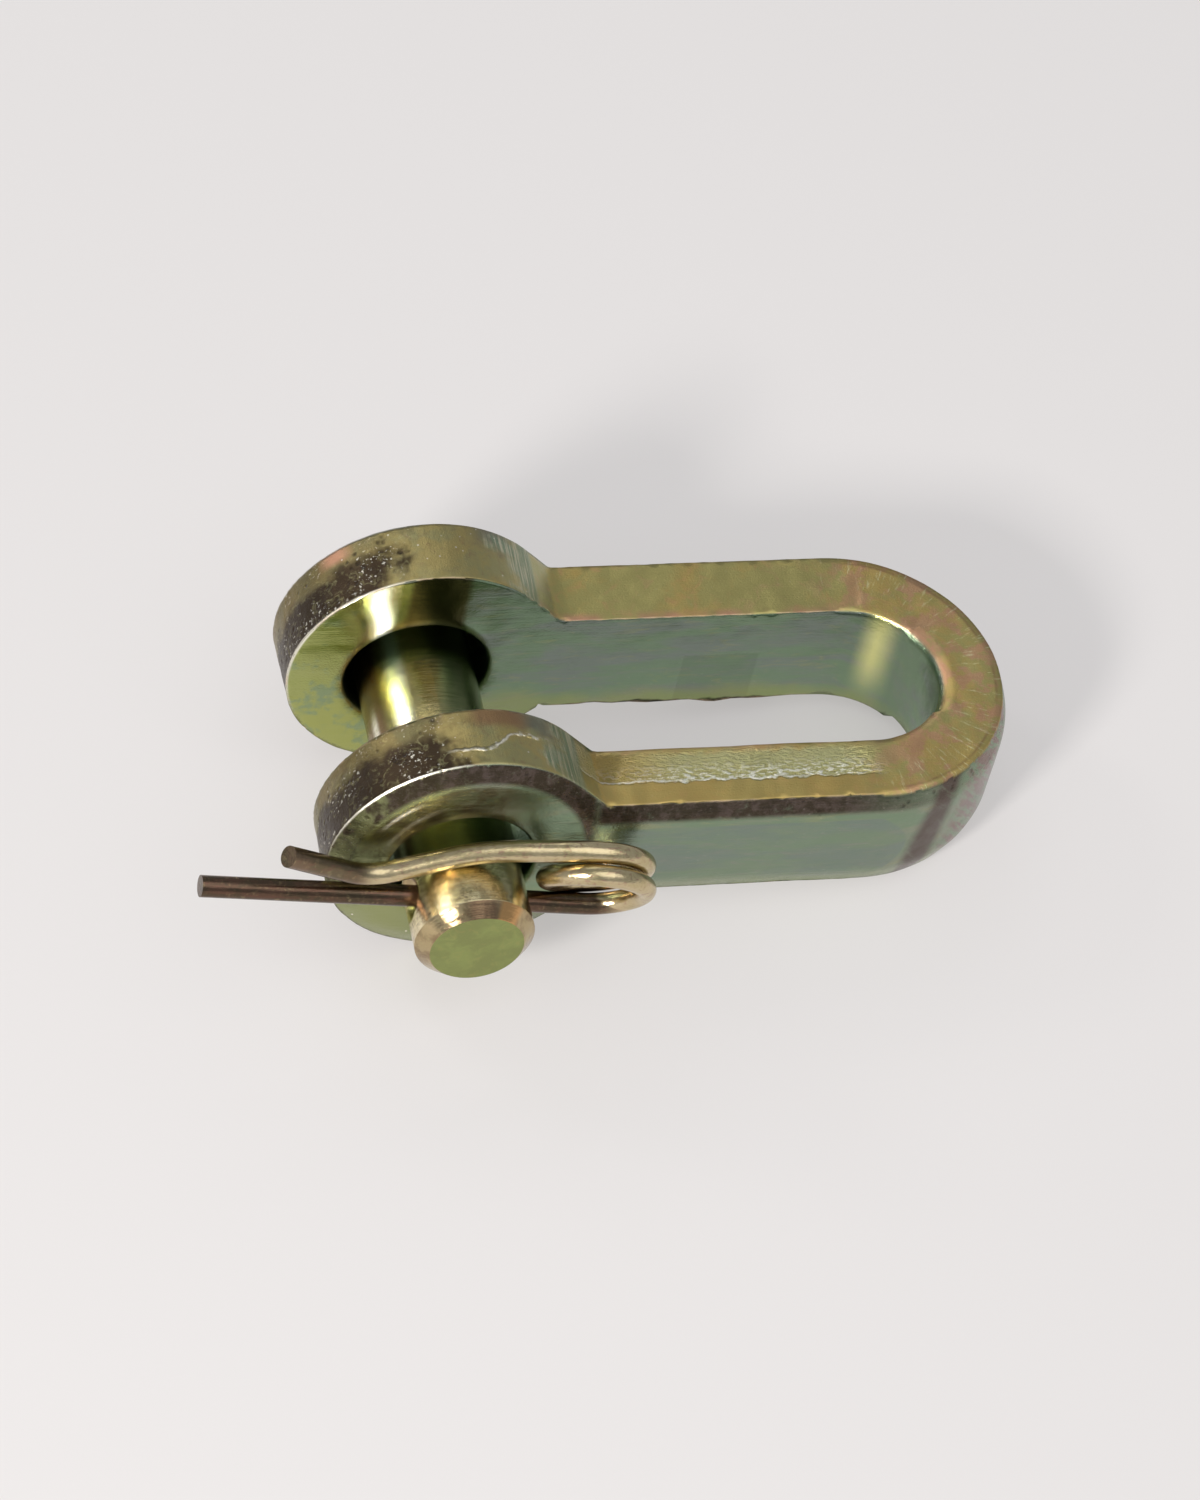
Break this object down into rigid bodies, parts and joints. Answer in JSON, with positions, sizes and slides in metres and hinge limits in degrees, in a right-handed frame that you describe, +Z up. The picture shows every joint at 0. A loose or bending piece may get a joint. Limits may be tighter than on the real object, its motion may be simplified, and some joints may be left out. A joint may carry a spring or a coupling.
{
  "type": "clevis",
  "caption": "Forged U-shaped clevis with a headed clevis pin across its two eyes, held by a double-coil spring clip, in yellow zinc-plated steel.",
  "frame": {"origin": "on the clevis pin's axis, midway between the two eyes", "axes": "+Y along the pin towards its head, +X towards the bow, +Z up as the clevis lies on its eyes and on the lower edge of its bow"},
  "size_m": [0.156, 0.0824, 0.0518],
  "materials": {
    "forged_zinc": "iridescent yellow zinc plating over a forged and partly ground surface",
    "pin_zinc": "glossy iridescent yellow zinc plating over turned steel",
    "wire_zinc": "glossy iridescent yellow zinc plating on drawn wire"
  },
  "bodies": {
    "clevis": {"clevis_body": "forged_zinc"},
    "pin": {"clevis_pin": "pin_zinc"},
    "clip": {"spring_clip": "wire_zinc"}
  },
  "joints": [
    {"name": "pin_turn", "type": "hinge", "parent": "clevis", "child": "pin", "pos_m": [0, 0, 0], "axis": [0, 1, 0], "continuous": true},
    {"name": "clip_pull", "type": "slide", "parent": "pin", "child": "clip", "axis": [0.9715, -0.0349, -0.2344], "range_m": [0, 0.0615], "deforming": ["spring_clip"]}
  ]
}
